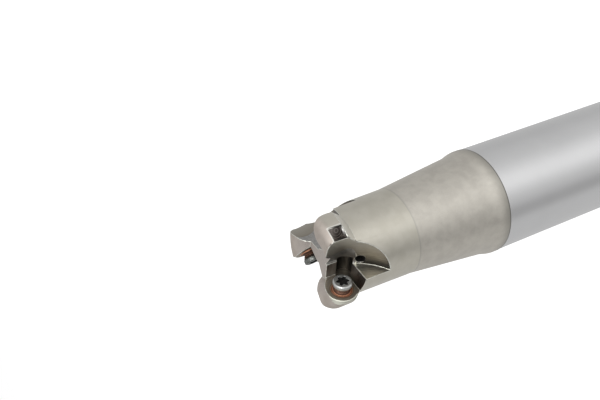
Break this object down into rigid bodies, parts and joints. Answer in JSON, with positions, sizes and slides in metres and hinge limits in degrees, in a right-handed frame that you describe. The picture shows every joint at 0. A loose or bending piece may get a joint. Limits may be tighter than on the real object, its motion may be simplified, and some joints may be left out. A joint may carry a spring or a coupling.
{
  "type": "indexable end mill",
  "caption": "Cylindrical-shank indexable end mill body with tapered neck, seats for round inserts on a milled head, chip gullets, coolant outlets and six-lobe insert screws.",
  "frame": {"origin": "centre of the shank's back face, on the tool's axis", "axes": "+Z along the tool's axis from the shank's back face to the cutting head, +X through the middle of the first insert seat"},
  "size_m": [0.0322, 0.0322, 0.15],
  "materials": {
    "nickelled_steel": "satin nickel-plated tool steel, ground bright on the shank",
    "screw_steel": "satin hardened steel"
  },
  "bodies": {
    "root": {"cutter_body": "nickelled_steel", "insert_screw_1": "screw_steel", "insert_screw_2": "screw_steel", "insert_screw_3": "screw_steel"}
  },
  "joints": []
}
